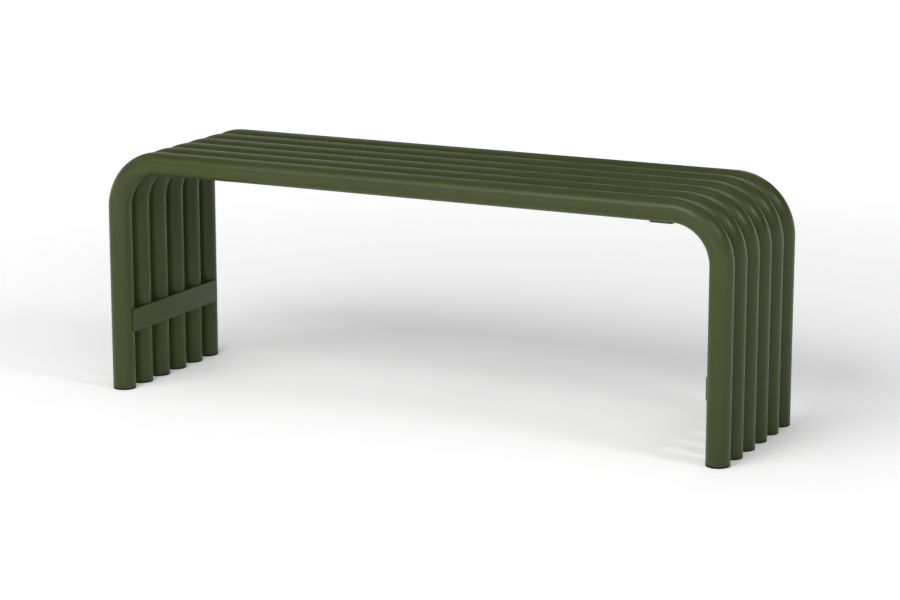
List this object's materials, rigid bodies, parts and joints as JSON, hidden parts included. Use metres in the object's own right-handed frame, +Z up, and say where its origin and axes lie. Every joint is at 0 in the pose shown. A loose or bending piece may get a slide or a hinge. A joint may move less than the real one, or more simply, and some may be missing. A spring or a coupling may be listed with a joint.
{
  "type": "backless bench",
  "caption": "Backless outdoor bench made of parallel bent steel tubes, each forming both legs and a seat rail, tied by flat cross bars and standing on capped tube ends.",
  "frame": {"origin": "on the floor, below the middle of the seat", "axes": "+X along the bench's length, +Y across the seat from the front tube to the rear tube, +Z up"},
  "size_m": [1.22, 0.336, 0.45],
  "materials": {
    "painted_steel": "satin olive-green powder coat with fine orange peel",
    "painted_weld": "olive-green powder coat over rippled weld beads",
    "foot_cap_plastic": "moulded matt black polyethylene"
  },
  "bodies": {
    "root": {"bent_tube_1": "painted_steel", "bent_tube_2": "painted_steel", "bent_tube_3": "painted_steel", "bent_tube_4": "painted_steel", "bent_tube_5": "painted_steel", "bent_tube_6": "painted_steel", "foot_cap_left_1": "foot_cap_plastic", "foot_cap_left_2": "foot_cap_plastic", "foot_cap_left_3": "foot_cap_plastic", "foot_cap_left_4": "foot_cap_plastic", "foot_cap_left_5": "foot_cap_plastic", "foot_cap_left_6": "foot_cap_plastic", "foot_cap_right_1": "foot_cap_plastic", "foot_cap_right_2": "foot_cap_plastic", "foot_cap_right_3": "foot_cap_plastic", "foot_cap_right_4": "foot_cap_plastic", "foot_cap_right_5": "foot_cap_plastic", "foot_cap_right_6": "foot_cap_plastic", "leg_bar_left": "painted_steel", "leg_bar_left_welds": "painted_weld", "leg_bar_right": "painted_steel", "leg_bar_right_welds": "painted_weld", "seat_bar_left": "painted_steel", "seat_bar_left_welds": "painted_weld", "seat_bar_right": "painted_steel", "seat_bar_right_welds": "painted_weld"}
  },
  "joints": []
}
